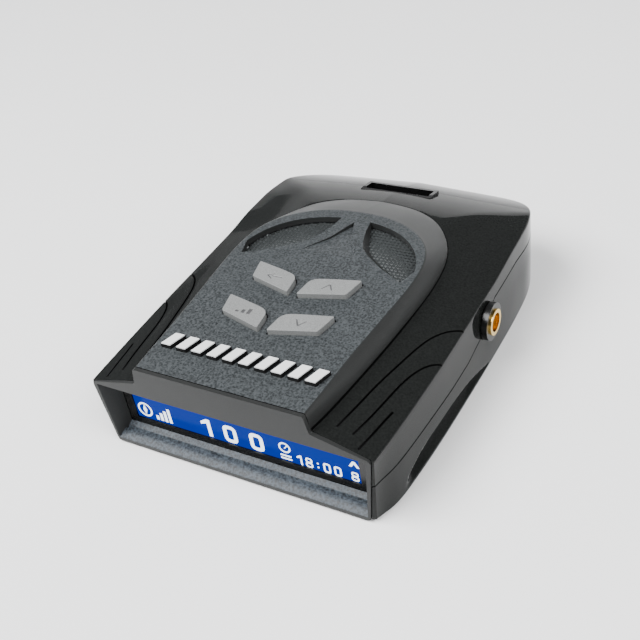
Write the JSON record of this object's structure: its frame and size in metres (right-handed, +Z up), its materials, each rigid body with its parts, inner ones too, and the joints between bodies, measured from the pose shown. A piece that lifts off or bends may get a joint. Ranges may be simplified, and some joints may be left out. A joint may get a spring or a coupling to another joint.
{
  "type": "radar detector",
  "caption": "Dash-top radar detector: wedge-cornered black case, arched face panel, sprung keys, recessed front display, side aerial socket and rear bracket slot.",
  "frame": {"origin": "middle of the base plane, on the surface the rubber feet stand on", "axes": "+Y along the case from display to rear, +Z up, +X to the aerial socket side"},
  "size_m": [0.0793, 0.1036, 0.0288],
  "materials": {
    "black_gloss": "gloss",
    "grey_satin": "satin",
    "grey_fleck": "satin",
    "grey_dark": "matte",
    "black_matte": "matte",
    "white_print": "gloss",
    "silver_key": "satin",
    "mat_rubber": "matte",
    "board_green": "satin",
    "zinc": "satin",
    "cone_paper": "matte",
    "magnet_steel": "satin",
    "lead_red": "satin",
    "display_glass": "gloss",
    "diffuser": "matte",
    "flex_amber": "satin",
    "gold_brass": "polished",
    "insulator": "satin",
    "lead_black": "satin",
    "tin_can": "satin",
    "ceramic_tan": "satin",
    "cast_alloy": "satin",
    "ir_lens": "gloss",
    "foot_rubber": "matte",
    "label_silver": "satin"
  },
  "bodies": {
    "case": {"upper_shell": "black_gloss", "lower_shell": "black_gloss", "front_bezel": "grey_satin", "face_panel": "grey_fleck", "grille_plate": "grey_dark", "badge_blocks": "black_matte", "badge_faces": "white_print", "key_mat": "mat_rubber", "tact_switches": "black_matte", "key_board": "board_green", "key_board_screws": "zinc", "speaker_frame": "black_matte", "speaker_cone": "cone_paper", "speaker_magnet": "magnet_steel", "speaker_leads": "lead_red", "lcd_frame": "black_matte", "lcd_glass": "display_glass", "backlight": "diffuser", "lcd_flex": "flex_amber", "aerial_collar": "black_matte", "aerial_barrel": "gold_brass", "aerial_insulator": "insulator", "aerial_contact": "gold_brass", "coax_lead": "lead_black", "main_board": "board_green", "board_screws": "zinc", "processor": "black_matte", "receiver_module": "tin_can", "patch_aerial": "ceramic_tan", "capacitors": "black_matte", "power_jack": "black_matte", "power_pin": "zinc", "horn_aerial": "cast_alloy", "rf_board": "board_green", "rf_can": "tin_can", "bracket_socket": "black_matte", "laser_sensor": "black_matte", "rear_lens": "ir_lens", "rubber_feet": "foot_rubber", "case_screws": "zinc", "rating_plate": "label_silver"},
    "key_exit": {"key_exit": "silver_key", "plunger_exit": "black_matte"},
    "key_set": {"key_set": "silver_key", "plunger_set": "black_matte"},
    "key_up": {"key_up": "silver_key", "plunger_up": "black_matte"},
    "key_down": {"key_down": "silver_key", "plunger_down": "black_matte"}
  },
  "joints": [
    {"name": "key_exit_press", "type": "slide", "parent": "case", "child": "key_exit", "axis": [0, 0.0489, -0.9988], "range_m": [0, 0.0005], "stiffness_N_per_m": 600, "springref_m": -0.001},
    {"name": "key_set_press", "type": "slide", "parent": "case", "child": "key_set", "axis": [0, 0.0489, -0.9988], "range_m": [0, 0.0005], "stiffness_N_per_m": 600, "springref_m": -0.001},
    {"name": "key_up_press", "type": "slide", "parent": "case", "child": "key_up", "axis": [0, 0.0489, -0.9988], "range_m": [0, 0.0005], "stiffness_N_per_m": 600, "springref_m": -0.001},
    {"name": "key_down_press", "type": "slide", "parent": "case", "child": "key_down", "axis": [0, 0.0489, -0.9988], "range_m": [0, 0.0005], "stiffness_N_per_m": 600, "springref_m": -0.001}
  ]
}
